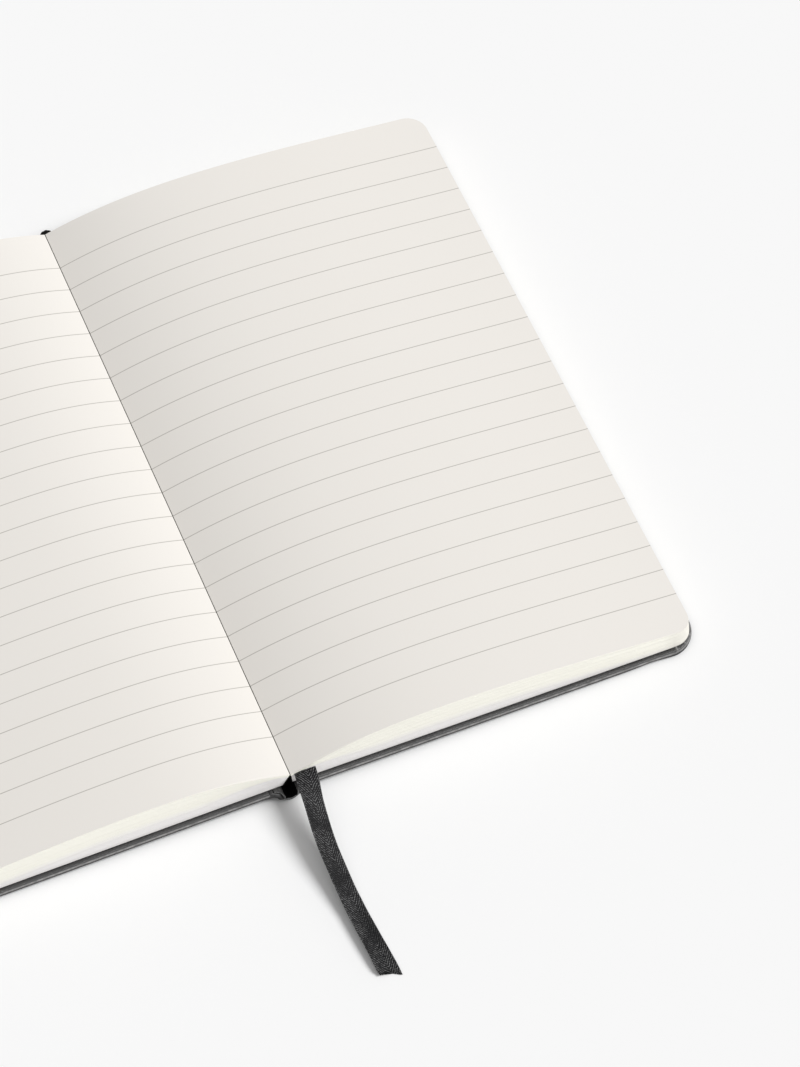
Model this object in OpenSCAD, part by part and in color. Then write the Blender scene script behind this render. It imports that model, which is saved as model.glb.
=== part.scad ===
// Hardback ruled notebook, lying open on a table.
// Millimetres. X runs across both halves, +Y points to the head, +Z is up.
// The origin is on the table under the middle of the spine.

/* [Covers] */
// Length of a cover from head to tail
cover_l = 210; // [160:1:297]
// Reach of an open cover from the middle of the spine to its fore-edge
cover_reach = 127.8; // [90:0.1:200]
// Thickness of the card board in a cover
board_t = 1.5; // [1:0.1:3]
// Thickness of the leatherette that wraps the boards
skin_t = 0.3; // [0.2:0.05:0.5]
// Width of leatherette turned in over the inside of a board
turn_in = 12; // [6:0.5:20]
// Radius of a cover's two outer corners
cover_corner_r = 8.3; // [3:0.1:12]
// Radius along the edges of a wrapped board
edge_round = 0.8; // [0.2:0.1:1]
// Height that the spine lifts a cover's inner edge off the table
spine_lift = 1.4; // [0.2:0.1:2]
// Thickness of the endpaper pasted inside a cover
paste_t = 0.15; // [0.1:0.05:0.3]
// Leatherette left showing round the pasted endpaper
paste_margin = 2.5; // [1:0.5:6]

/* [Spine] */
// Outer width of the spine loop
loop_w = 4.6; // [4:0.1:5]
// Distance that the loop lies left of the gutter
loop_shift = 0.9; // [0:0.1:1]
// Radius where the loop flares out into the joint
flare_r = 0.7; // [0.5:0.1:0.9]
// Distance from the middle of the spine to a cover's joint
joint_x = 5.7; // [5.6:0.1:6.5]
// Gap from a joint to the cover's inner edge
joint_gap = 0.7; // [0.6:0.1:1.5]
// Length of the spine that stands out past the covers at head and tail
cap_out = 1.4; // [0.8:0.1:4]
// Thickness of the card strip inside the spine
strip_t = 0.4; // [0.2:0.05:0.6]
// Half angle of the card strip's arc
strip_angle = 70; // [40:1:80]
// Thickness of the cloth lining on the back of the pages
lining_t = 0.3; // [0.2:0.05:0.35]
// Length of lining that stands out past the head of the pages
lining_out = 1.3; // [0.1:0.1:2]

/* [Pages] */
// Length of a page from head to tail
page_l = 207.5; // [157:0.5:294]
// Width of the open pages on one side, from gutter to fore-edge
page_w = 125.7; // [88:0.1:198]
// Radius of the pages' outer corners
page_corner_r = 7.2; // [2:0.1:11]
// Reach of the lowest leaf past the top leaf at the fore-edge
fore_lean = 0.8; // [0:0.1:1]
// Height of the gutter, where the two top leaves meet
gutter_z = 8.6; // [6.5:0.1:12]
// Height of the top leaf at the fore-edge
fore_z = 8.7; // [5:0.1:12]
// Height of the right-hand arch
right_crest_z = 15.3; // [10:0.1:20]
// Distance of the right-hand arch's crest from the gutter
right_crest_x = 45.5; // [20:0.5:60]
// Height of the left-hand arch
left_crest_z = 15.9; // [10:0.1:20]
// Distance of the left-hand arch's crest from the gutter
left_crest_x = 40.5; // [20:0.5:60]
// Foot of the right-hand pages' back, from the middle of the spine
right_back_x = 0.6; // [0.6:0.1:3]
// Foot of the left-hand pages' back, from the middle of the spine
left_back_x = 2.4; // [1.2:0.1:3.4]

/* [Ribbon] */
// Width of the ribbon marker
ribbon_w = 6.5; // [4:0.5:10]
// Thickness of the ribbon marker
ribbon_t = 0.4; // [0.3:0.1:0.8]

/* [Hidden] */
$fn = 64;

// Slopes of the arches at the gutter and the fore-edge, as rise over run
right_gutter_slope = 0.34;
left_gutter_slope = 0.44;
fore_slope = -0.1;
// Straight pieces that each half of an arch is drawn with
arch_steps = 14;
// Gap between the two top leaves at the gutter, and between pages and endpaper
gutter_gap = 0.3;
rest_gap = 0.15;
// Gap between the spine's lip and the joint, and between glued curved layers
lip_gap = 0.3;
glue_gap = 0.03;
// Depth below the gutter at which the cloth lining starts
lining_drop = 1;
// Overlap that keeps joined shapes one solid
weld = 0.01;
// Largest turn between two points of a drawn arc, in degrees
arc_step = 6;
// Skin left beside the loop where its ends stand out, and the slope down to it
cap_rim = 0.15;
cap_slope = 0.8;

cover_t = board_t + 2 * skin_t;
edge_r = min(edge_round, 3 * skin_t, cover_t / 2 - weld);
cover_inner_x = joint_x + joint_gap;
cover_tilt = asin(spine_lift / (cover_reach - cover_inner_x));
cover_w = (cover_reach - cover_inner_x) / cos(cover_tilt);
joint_z = spine_lift + cover_t;

loop_r = loop_w / 2;
loop_mid = [-loop_shift, loop_r];
loop_mid_r = loop_r - skin_t / 2;
lip_mid_z = joint_z - skin_t / 2;
// Angle below level at which the loop turns into its flare
flare_angle = asin((loop_r + flare_r - lip_mid_z) / (loop_mid_r + flare_r));
flare_x = (loop_mid_r + flare_r) * cos(flare_angle);
flare_z = loop_r - (loop_mid_r + flare_r) * sin(flare_angle);
lip_x = joint_x - lip_gap;
spine_l = cover_l + 2 * cap_out;

// Height of a cover's inside face at distance x from the middle of the spine
function inside_z(x) = cover_t / cos(cover_tilt) + (cover_reach - x) * tan(cover_tilt);
function pages_foot_z(x) = inside_z(x) + paste_t + rest_gap;

// Cubic curve from height a to height b over a run, with the slopes at its ends
function hermite(t, run, a, b, slope_a, slope_b) =
    a * (2 * t * t * t - 3 * t * t + 1) + b * (3 * t * t - 2 * t * t * t)
    + run * (slope_a * (t * t * t - 2 * t * t + t) + slope_b * (t * t * t - t * t));

function arch(crest_x, crest_z, gutter_slope) =
    let (run_in = crest_x - gutter_gap / 2, run_out = page_w - crest_x)
    concat(
        [for (i = [0:arch_steps - 1]) let (t = i / arch_steps)
            [gutter_gap / 2 + t * run_in, hermite(t, run_in, gutter_z, crest_z, gutter_slope, 0)]],
        [for (i = [0:arch_steps]) let (t = i / arch_steps)
            [crest_x + t * run_out, hermite(t, run_out, crest_z, fore_z, 0, fore_slope)]]);

// Lays a flat outline's X and Y as X and Z, and gives it a length along Y
module along_y(length) {
    rotate([90, 0, 0]) linear_extrude(height = length, center = true) children();
}

// Outline with two round corners on its outer side, from x = 0 to x = w
module leaf_outline(w, l, r) {
    translate([0, -l / 2 + r]) square([w, l - 2 * r]);
    translate([0, -l / 2]) square([w - r, l]);
    for (s = [-1, 1]) translate([w - r, s * (l / 2 - r)]) circle(r);
}

// Upright prism with the leaves' outline, leaning out at the foot of the fore-edge
module leaf_stack() {
    lean = atan2(fore_lean, fore_z - pages_foot_z(page_w));
    overlap = page_corner_r;
    translate([page_w, 0, fore_z]) rotate([0, -lean, 0]) translate([-page_w - overlap, 0, -page_w])
        linear_extrude(height = 2 * page_w) leaf_outline(page_w + overlap, page_l, page_corner_r);
}

module pages(crest_x, crest_z, gutter_slope, back_x) {
    foot_x = page_w + 2 * fore_lean;
    intersection() {
        along_y(page_l) polygon(concat(
            arch(crest_x, crest_z, gutter_slope),
            [[foot_x, fore_z], [foot_x, pages_foot_z(foot_x)], [back_x, pages_foot_z(back_x)]]));
        leaf_stack();
    }
}

// Cloth strip glued down the slanting back of one side's pages
module lining(back_x) {
    foot_z = pages_foot_z(back_x);
    back_h = gutter_z - foot_z;
    lean = atan2(back_x - gutter_gap / 2, back_h);
    strip_l = back_h / cos(lean) - lining_drop;
    translate([0, lining_out / 2, 0]) along_y(page_l + lining_out)
        translate([back_x, foot_z]) rotate(lean) translate([-lining_t, 0]) square([lining_t, strip_l]);
}

// Rounded edge of a wrapped board, from its middle at x = 0 out to x = reach
module edge_section(reach) {
    square([reach - edge_r, cover_t]);
    translate([0, edge_r]) square([reach, cover_t - 2 * edge_r]);
    for (z = [edge_r, cover_t - edge_r]) translate([reach - edge_r, z]) circle(edge_r, $fn = 32);
}

// Whole thickness of a cover, with rounded edges and outer corners
module cover_blank() {
    r = cover_corner_r;
    straight_w = cover_w - r;
    straight_l = cover_l - 2 * r;
    translate([0, -straight_l / 2, 0]) cube([straight_w, straight_l, cover_t]);
    translate([straight_w, 0, 0]) along_y(straight_l) edge_section(r);
    for (s = [-1, 1]) translate([0, s * straight_l / 2, 0]) mirror([0, s < 0 ? 1 : 0, 0]) {
        translate([straight_w / 2, 0, 0]) rotate([0, 0, 90]) along_y(straight_w) edge_section(r);
        translate([straight_w, 0, 0]) rotate_extrude(angle = 90) intersection() {
            edge_section(r);
            square([r, cover_t]);
        }
    }
}

// Card board: its edges are pressed down where the leatherette is turned in
module board() {
    translate([skin_t, 0, skin_t]) linear_extrude(height = board_t)
        leaf_outline(cover_w - 2 * skin_t, cover_l - 2 * skin_t, cover_corner_r - skin_t);
    translate([skin_t, -cover_l / 2 + turn_in, skin_t])
        cube([cover_w - skin_t - turn_in, cover_l - 2 * turn_in, board_t + skin_t]);
}

module cover_wrap() {
    difference() {
        cover_blank();
        board();
    }
}

module pastedown() {
    translate([0, 0, cover_t]) linear_extrude(height = paste_t)
        leaf_outline(cover_w - paste_margin, cover_l - 2 * paste_margin, page_corner_r);
}

// Stands a cover piece on its fore-edge, with its inner edge lifted by the spine
module lay_right() {
    translate([cover_reach, 0, 0]) rotate([0, cover_tilt, 0]) translate([-cover_w, 0, 0]) children();
}

module lay_left() {
    mirror([1, 0, 0]) lay_right() children();
}

// Points along a round stretch, from one angle to another
function arc(centre, r, from, to) =
    let (steps = ceil(abs(to - from) / arc_step))
    [for (i = [0:steps]) let (a = from + (to - from) * i / steps) centre + r * [cos(a), sin(a)]];

// The same without its first and last points, to fit between two other stretches
function inner_arc(centre, r, from, to) =
    let (all_points = arc(centre, r, from, to)) [for (i = [1:len(all_points) - 2]) all_points[i]];

// Part of a ring between two radii, centred on the loop and symmetric about straight down
module loop_band(outer, inner, half_angle) {
    polygon(concat(
        arc(loop_mid, outer, -90 - half_angle, -90 + half_angle),
        arc(loop_mid, inner, -90 + half_angle, -90 - half_angle)));
}

// Section of the spine's skin: lip, flare, loop, flare, lip
module spine_section() {
    right = [loop_mid.x + flare_x, flare_z];
    left = [loop_mid.x - flare_x, flare_z];
    under_r = flare_r - skin_t / 2;
    over_r = flare_r + skin_t / 2;
    polygon(concat(
        [[lip_x, joint_z - skin_t]],
        arc(right, under_r, 90, 180 - flare_angle),
        inner_arc(loop_mid, loop_r, -flare_angle, -180 + flare_angle),
        arc(left, under_r, flare_angle, 90),
        [[-lip_x, joint_z - skin_t], [-lip_x, joint_z]],
        arc(left, over_r, 90, flare_angle),
        inner_arc(loop_mid, loop_r - skin_t, -180 + flare_angle, -flare_angle),
        arc(right, over_r, 180 - flare_angle, 90),
        [[lip_x, joint_z]]));
}

// Plan of the spine: wide between the covers, narrow where its ends stand out
module spine_plan() {
    cap_r = loop_r + cap_rim;
    right = loop_mid.x + cap_r;
    left = loop_mid.x - cap_r;
    shoulder_y = cover_l / 2;
    for (s = [0, 1]) mirror([0, s]) polygon([
        [-lip_x, -weld], [lip_x, -weld], [lip_x, shoulder_y], [right + cap_slope, shoulder_y],
        [right, shoulder_y + cap_slope], [right, spine_l], [left, spine_l],
        [left, shoulder_y + cap_slope], [left - cap_slope, shoulder_y], [-lip_x, shoulder_y]]);
}

// Leatherette folded in over the end of the card strip
module spine_turn_in() {
    layer_r = loop_r - skin_t - strip_t - 2 * glue_gap;
    translate([0, (spine_l - turn_in) / 2, 0]) along_y(turn_in)
        loop_band(layer_r, layer_r - skin_t, strip_angle);
    translate([0, (spine_l - skin_t) / 2, 0]) along_y(skin_t)
        loop_band(loop_mid_r, layer_r - skin_t, strip_angle);
}

// Leatherette spine: a hollow loop, flared into both joints and turned in at its ends
module spine_wrap() color([0.13, 0.13, 0.135]) {
    intersection() {
        along_y(spine_l) spine_section();
        linear_extrude(height = joint_z + weld) spine_plan();
    }
    for (s = [0, 1]) mirror([0, s, 0]) spine_turn_in();
}

module spine_strip() color([0.55, 0.53, 0.49])
    along_y(spine_l - 2 * skin_t - 2 * glue_gap)
        loop_band(loop_r - skin_t - glue_gap, loop_r - skin_t - strip_t - glue_gap, strip_angle);

module right_pages() color([0.95, 0.94, 0.91])
    pages(right_crest_x, right_crest_z, right_gutter_slope, right_back_x);

module left_pages() color([0.95, 0.94, 0.91])
    mirror([1, 0, 0]) pages(left_crest_x, left_crest_z, left_gutter_slope, left_back_x);

module right_spine_lining() color([0.08, 0.08, 0.08]) lining(right_back_x);

module left_spine_lining() color([0.08, 0.08, 0.08]) mirror([1, 0, 0]) lining(left_back_x);

module back_board() color([0.62, 0.58, 0.52]) lay_right() board();

module back_cover_wrap() color([0.13, 0.13, 0.135]) lay_right() cover_wrap();

module back_pastedown() color([0.93, 0.92, 0.88]) lay_right() pastedown();

module front_board() color([0.62, 0.58, 0.52]) lay_left() board();

module front_cover_wrap() color([0.13, 0.13, 0.135]) lay_left() cover_wrap();

module front_pastedown() color([0.93, 0.92, 0.88]) lay_left() pastedown();

// Middle line of the ribbon: across, out from the tail of the pages, and up
ribbon_route = [
    [4.4, 0.1, 8.3], [4.2, 2, 8.2], [3.8, 5, 7.8], [3.2, 9, 6.8], [2.7, 14, 5.5],
    [2.3, 19, 4.3], [2.1, 24, 3.3], [2.1, 29, 2.5], [2.1, 34, 1.8], [2.2, 39, 1.3],
    [2.3, 44, 0.9], [2.5, 49, 0.6], [2.8, 54, 0.4], [3.2, 59, 0.3], [3.7, 65, 0.3]];
ribbon_line = [for (p = ribbon_route) [p.x, -page_l / 2 - p.y, p.z]];

function unit(v) = v / norm(v);
function route_way(i) =
    unit(ribbon_line[min(i + 1, len(ribbon_line) - 1)] - ribbon_line[max(i - 1, 0)]);
// Flat section with eight sides, as width and thickness shares of one half
ribbon_section = [[1, 0.5], [0.9, 1], [-0.9, 1], [-1, 0.5], [-1, -0.5], [-0.9, -1], [0.9, -1], [1, -0.5]];

function ribbon_ring(i) =
    let (way = route_way(i), side = unit(cross(way, [0, 0, 1])), up = cross(side, way))
    [for (p = ribbon_section)
        ribbon_line[i] + side * p[0] * ribbon_w / 2 + up * p[1] * ribbon_t / 2];

// Woven ribbon marker: one flat tube swept along its route
module ribbon_marker() color([0.1, 0.1, 0.1]) {
    sides = len(ribbon_section);
    rings = len(ribbon_line);
    polyhedron(
        points = [for (i = [0:rings - 1]) each ribbon_ring(i)],
        faces = concat(
            [[for (k = [0:sides - 1]) k]],
            [for (i = [0:rings - 2], k = [0:sides - 1])
                [i * sides + k, (i + 1) * sides + k, (i + 1) * sides + (k + 1) % sides,
                 i * sides + (k + 1) % sides]],
            [[for (k = [sides - 1:-1:0]) (rings - 1) * sides + k]]),
        convexity = 4);
}

right_pages();
left_pages();
right_spine_lining();
left_spine_lining();
spine_wrap();
spine_strip();
back_board();
back_cover_wrap();
back_pastedown();
front_board();
front_cover_wrap();
front_pastedown();
ribbon_marker();
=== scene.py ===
# Open ruled notebook with leatherette covers and a ribbon marker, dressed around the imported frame.
# Metres. +X runs across to the right-hand fore-edge, +Y to the head of the pages, +Z is up.
import math
import random

import bmesh
import bpy
from mathutils import Matrix, Vector, noise


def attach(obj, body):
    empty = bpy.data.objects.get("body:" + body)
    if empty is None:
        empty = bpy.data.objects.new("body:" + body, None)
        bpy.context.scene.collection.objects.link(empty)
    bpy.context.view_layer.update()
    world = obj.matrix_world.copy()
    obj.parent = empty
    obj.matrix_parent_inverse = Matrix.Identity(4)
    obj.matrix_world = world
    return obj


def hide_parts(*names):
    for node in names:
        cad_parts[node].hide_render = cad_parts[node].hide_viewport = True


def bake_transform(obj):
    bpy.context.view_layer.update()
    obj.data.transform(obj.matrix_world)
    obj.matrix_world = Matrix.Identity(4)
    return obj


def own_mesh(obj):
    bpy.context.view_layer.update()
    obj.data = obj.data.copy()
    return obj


MM = 0.001
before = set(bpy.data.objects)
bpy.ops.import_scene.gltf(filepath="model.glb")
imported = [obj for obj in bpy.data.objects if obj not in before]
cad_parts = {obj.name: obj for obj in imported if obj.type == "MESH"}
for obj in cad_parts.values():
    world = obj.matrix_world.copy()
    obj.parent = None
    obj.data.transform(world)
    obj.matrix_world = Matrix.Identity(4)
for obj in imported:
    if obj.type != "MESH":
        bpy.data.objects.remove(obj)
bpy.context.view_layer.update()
random.seed(7)

# Camera: where it stands, its heading from +X, how far it looks down, its roll and its lens
CAMERA_PLACE = Vector((-166.8, -587.4, 915.9)) * MM
CAMERA_HEADING = math.radians(67.52)
CAMERA_DOWN = math.radians(56.88)
CAMERA_ROLL = math.radians(0.05)
CAMERA_LENS = 124.49
SENSOR_LONG_SIDE = 36

# Covers
COVER_L = 210 * MM
COVER_REACH = 127.8 * MM
COVER_INNER_X = 6.4 * MM
COVER_T = 2.1 * MM
COVER_CORNER_R = 8.3 * MM
SPINE_LIFT = 1.4 * MM
TURN_IN = 12 * MM
SKIN_T = 0.3 * MM
COVER_TILT = math.asin(SPINE_LIFT / (COVER_REACH - COVER_INNER_X))
COVER_W = (COVER_REACH - COVER_INNER_X) / math.cos(COVER_TILT)
JOINT_X = 5.7 * MM
JOINT_Z = SPINE_LIFT + COVER_T

# Spine loop
LOOP_R = 2.3 * MM
LOOP_X = -0.9 * MM
FLARE_R = 0.7 * MM
LIP_X = JOINT_X - 0.3 * MM
# How far the spine's ends stand out past the covers: the strip's, and the skin's
CAP_OUT = 1.4 * MM
CAP_SEEN = 1.75 * MM
STRIP_T = 0.4 * MM

# Pages
PAGE_L = 207.5 * MM
PAGE_W = 125.7 * MM
PAGE_CORNER_R = 6.2 * MM
FORE_LEAN = 0.8 * MM
GUTTER_Z = 8.6 * MM
FORE_Z = 8.7 * MM
FORE_SLOPE = -0.1
HALF_GUTTER = 0.12 * MM
FOOT_CLEAR = 0.3 * MM
RIGHT = {"sign": 1, "crest_x": 45.5 * MM, "crest_z": 15.3 * MM, "slope": 0.34, "back_x": 0.6 * MM}
LEFT = {"sign": -1, "crest_x": 40.5 * MM, "crest_z": 15.9 * MM, "slope": 0.44, "back_x": 2.4 * MM}

# Ruling: twenty-one lines, the first and last as far from the middle
RULE_PITCH = 9 * MM
RULE_REACH = 90 * MM
RULE_W = 0.26 * MM
RULE_SHIFT = -0.3 * MM

# Ribbon: across, out from the tail of the pages, and up, as the solid's route has it
RIBBON_W = 6.5 * MM
RIBBON_ROUTE = [
    (4.4, 0.1, 8.3), (4.2, 2, 8.2), (3.8, 5, 7.8), (3.2, 9, 6.8), (2.7, 14, 5.5),
    (2.3, 19, 4.3), (2.1, 24, 3.3), (2.1, 29, 2.5), (2.1, 34, 1.8), (2.2, 39, 1.3),
    (2.3, 44, 0.9), (2.5, 49, 0.6), (2.8, 54, 0.4), (3.2, 59, 0.3), (3.7, 65, 0.3)]
RIBBON_LINE = [Vector((x * MM, -PAGE_L / 2 - out * MM, z * MM)) for x, out, z in RIBBON_ROUTE]


def add_object(name, data):
    made = bpy.data.objects.new(name, data)
    bpy.context.scene.collection.objects.link(made)
    return made


def make_camera():
    data = bpy.data.cameras.new("camera")
    data.lens = CAMERA_LENS
    data.sensor_width = SENSOR_LONG_SIDE
    data.clip_end = 20
    camera = add_object("camera", data)
    ahead = Vector((math.cos(CAMERA_HEADING) * math.cos(CAMERA_DOWN),
                    math.sin(CAMERA_HEADING) * math.cos(CAMERA_DOWN), -math.sin(CAMERA_DOWN)))
    level = Vector((math.sin(CAMERA_HEADING), -math.cos(CAMERA_HEADING), 0))
    right = level * math.cos(CAMERA_ROLL) + level.cross(ahead) * math.sin(CAMERA_ROLL)
    up = right.cross(ahead)
    turn = Matrix((right, up, -ahead)).transposed().to_4x4()
    camera.matrix_world = Matrix.Translation(CAMERA_PLACE) @ turn
    bpy.context.scene.camera = camera


def smooth(t):
    t = max(0.0, min(1.0, t))
    return t * t * (3 - 2 * t)


def add_piece(name, verts, faces, materials, face_materials=None, sharp_deg=35):
    """One object from points and faces, smooth but for edges sharper than sharp_deg."""
    mesh = bpy.data.meshes.new(name)
    mesh.from_pydata([tuple(v) for v in verts], [], faces)
    for m in materials:
        mesh.materials.append(m)
    if face_materials:
        mesh.polygons.foreach_set("material_index", face_materials)
    mesh.polygons.foreach_set("use_smooth", [True] * len(mesh.polygons))
    mesh.validate()
    mesh.set_sharp_from_angle(angle=math.radians(sharp_deg))
    return add_object(name, mesh)


def make_normals_outward(piece):
    bm = bmesh.new()
    bm.from_mesh(piece.data)
    bmesh.ops.recalc_face_normals(bm, faces=bm.faces[:])
    bm.to_mesh(piece.data)
    bm.free()


def sweep_faces(rings, points, flip=False):
    """Quads between closed rings of points, each ring joined to the next."""
    faces = []
    for i in range(rings - 1):
        for k in range(points):
            a, b = i * points + k, i * points + (k + 1) % points
            c, d = b + points, a + points
            faces.append((a, d, c, b) if flip else (a, b, c, d))
    return faces


# Materials
class Nodes:
    """Short calls for a material's nodes."""

    def __init__(self, name):
        self.material = bpy.data.materials.new(name)
        self.material.use_nodes = True
        self.tree = self.material.node_tree
        self.shader = self.tree.nodes["Principled BSDF"]

    def add(self, kind, **settings):
        node = self.tree.nodes.new(kind)
        for key, value in settings.items():
            setattr(node, key, value)
        return node

    def link(self, out, into):
        self.tree.links.new(out, into)

    def coords(self):
        return self.add("ShaderNodeTexCoord").outputs["Object"]

    def attribute(self, name):
        return self.add("ShaderNodeAttribute", attribute_name=name).outputs["Fac"]

    def split(self, vector):
        node = self.add("ShaderNodeSeparateXYZ")
        self.link(vector, node.inputs[0])
        return node.outputs["X"], node.outputs["Y"]

    def math(self, operation, *values):
        node = self.add("ShaderNodeMath", operation=operation)
        for socket, value in zip(node.inputs, values):
            if isinstance(value, (int, float)):
                socket.default_value = value
            else:
                self.link(value, socket)
        return node.outputs[0]

    def noise(self, vector, scale, detail, roughness=0.5):
        node = self.add("ShaderNodeTexNoise")
        self.link(vector, node.inputs["Vector"])
        node.inputs["Scale"].default_value = scale
        node.inputs["Detail"].default_value = detail
        node.inputs["Roughness"].default_value = roughness
        return node.outputs["Fac"]

    def map(self, value, low, high, to_low, to_high):
        node = self.add("ShaderNodeMapRange")
        self.link(value, node.inputs["Value"])
        for key, number in (("From Min", low), ("From Max", high), ("To Min", to_low), ("To Max", to_high)):
            node.inputs[key].default_value = number
        return node.outputs["Result"]

    def mix(self, share, first, second):
        node = self.add("ShaderNodeMix", data_type="RGBA")
        for key, value in (("Factor", share), ("A", first), ("B", second)):
            socket = node.inputs[key]
            if isinstance(value, (int, float)):
                socket.default_value = value
            elif isinstance(value, tuple):
                socket.default_value = (*value, 1)
            else:
                self.link(value, socket)
        return node.outputs["Result"]

    def bump(self, height, distance, strength):
        node = self.add("ShaderNodeBump")
        node.inputs["Distance"].default_value = distance
        node.inputs["Strength"].default_value = strength
        self.link(height, node.inputs["Height"])
        self.link(node.outputs["Normal"], self.shader.inputs["Normal"])

    def paint(self, colour):
        self.link(colour, self.shader.inputs["Base Color"])

    def set(self, **values):
        """Constant values on the shader's own sockets."""
        for key, value in values.items():
            socket = self.shader.inputs[key.replace("_", " ")]
            socket.default_value = (*value, 1) if isinstance(value, tuple) else value


PAPER = (0.808, 0.778, 0.736)
PAPER_LINE = (0.47, 0.45, 0.415)
PAPER_MOTTLE = (0.73, 0.69, 0.60)
# Cut edges: the top leaves' yellowish band, painted as a glow of light through the fanned leaves, the rest,
# and what darkens them in places: painted shade under the band and toward the foot, streaks, and the
# fore-edge corners
# Painted glow of light through the fanned top leaves
FAN_GLOW = (0.985, 0.968, 0.880)
CUT = (0.935, 0.915, 0.905)
# Painted shade: a line under the band, and greyer toward the foot of the stack
CUT_BAND_SHADE = (0.70, 0.68, 0.64)
CUT_FOOT_SHADE = (0.78, 0.765, 0.75)
CUT_STREAK = (0.72, 0.70, 0.64)
CUT_CORNER = (0.775, 0.755, 0.695)
# Darker and paler tone of each dark material
LEATHER = ((0.014, 0.014, 0.0145), (0.026, 0.0255, 0.025))
# Pale tone painted on the leatherette as a highlight along the edge's lip and on the corner pleats
LEATHER_HIGHLIGHT = (0.36, 0.356, 0.35)
# Two tones of the pale rim painted on the spine's turned ends as a highlight
LEATHER_RIM_HIGHLIGHT = ((0.09, 0.09, 0.09), (0.19, 0.19, 0.188))
LINING = ((0.005, 0.0045, 0.004), (0.013, 0.012, 0.011))
# Near-black painted on the card strip and the loop's inner side as the shade in the spine's hollow
STRIP_SHADE = ((0.0008, 0.0008, 0.0008), (0.002, 0.002, 0.002))
CARD = ((0.36, 0.34, 0.30), (0.46, 0.44, 0.40))
# The ribbon's dark ground and the pale tone of its floats, a painted highlight, then the painted glint on
# its selvedge
RIBBON_GROUND_AND_GLINT = ((0.0015, 0.0015, 0.002), (0.185, 0.185, 0.187))
RIBBON_SELVEDGE_GLINT = (0.20, 0.20, 0.20)


def paper_finish(n, colour):
    """Faint mottling and fibre that all the notebook's papers share."""
    at = n.coords()
    mottle = n.map(n.noise(at, 55, 3), 0.3, 0.7, 0.0, 0.035)
    n.paint(n.mix(mottle, colour, PAPER_MOTTLE))
    n.bump(n.noise(at, 2600, 4, 0.7), 0.02 * MM, 0.5)
    n.set(Roughness=0.9, Specular_IOR_Level=0.25)


def ruled_paper():
    """Grey ruling, with the band's painted glow on a hair of paper along the top leaf's tail."""
    n = Nodes("ruled_paper")
    place_x, place_y = n.split(n.coords())
    y = n.math("SUBTRACT", place_y, RULE_SHIFT)
    turns = n.math("DIVIDE", y, RULE_PITCH)
    off = n.math("ABSOLUTE", n.math("SUBTRACT", turns, n.math("ROUND", turns)))
    edge = RULE_W / 2 / RULE_PITCH
    soft = edge * 0.25
    line = n.map(off, edge - soft, edge + soft, 1, 0)
    inside = n.math("LESS_THAN", n.math("ABSOLUTE", y), RULE_REACH + RULE_W)
    colour = n.mix(n.math("MULTIPLY", line, inside), PAPER, PAPER_LINE)
    # The band's painted glow, carried onto the top leaf's tail
    tail = n.map(place_y, -PAGE_L / 2 + FAN_BACK, -PAGE_L / 2 + TAIL_GLOW, 1, 0)
    beside = n.map(n.math("ABSOLUTE", place_x), 4 * MM, 26 * MM, 0, 0.55)
    colour = n.mix(n.math("MULTIPLY", tail, beside), colour, FAN_GLOW)
    paper_finish(n, colour)
    return n.material


def plain_paper():
    n = Nodes("plain_paper")
    paper_finish(n, PAPER)
    return n.material


def leaf_edges():
    """Cut edges: a bright band painted as a glow where the top leaves fan, with a line of painted shade
    under it and greyer toward the foot as painted shade, duller by the fore-edge corners.
    """
    n = Nodes("leaf_edges")
    leaf = n.attribute("leaf")
    fan = n.attribute("fan")
    place_x, place_y = n.split(n.coords())
    along = n.add("ShaderNodeCombineXYZ")
    n.link(n.math("MULTIPLY", place_x, 30.0), along.inputs["X"])
    n.link(n.math("MULTIPLY", place_y, 30.0), along.inputs["Y"])
    n.link(n.math("MULTIPLY", leaf, 60.0), along.inputs["Z"])
    streak = n.noise(along.outputs[0], 1.0, 4, 0.65)
    edge = n.math("ADD", fan, n.map(streak, 0.3, 0.7, -0.12, 0.12))
    colour = n.mix(n.map(edge, 0.1, 0.9, 0, 1), CUT, FAN_GLOW)
    # Painted shade: a darker line where the band fades into the rest
    band_shade = n.math("MULTIPLY", n.map(edge, 0.02, 0.2, 0, 1), n.map(edge, 0.2, 0.4, 1, 0))
    colour = n.mix(n.math("MULTIPLY", band_shade, 0.2), colour, CUT_BAND_SHADE)
    # Painted shade, greyer toward the foot of the stack by the cover
    low = n.map(leaf, 0.0, 0.25, 1, 0)
    colour = n.mix(n.math("MULTIPLY", low, 0.2), colour, CUT_FOOT_SHADE)
    colour = n.mix(n.map(streak, 0.45, 0.75, 0.0, 0.12), colour, CUT_STREAK)
    corner = n.map(n.math("ABSOLUTE", place_x), 116 * MM, 123 * MM, 0, 1)
    n.paint(n.mix(corner, colour, CUT_CORNER))
    n.bump(streak, 0.08 * MM, 0.5)
    n.set(Roughness=0.95, Specular_IOR_Level=0.15)
    return n.material


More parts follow.
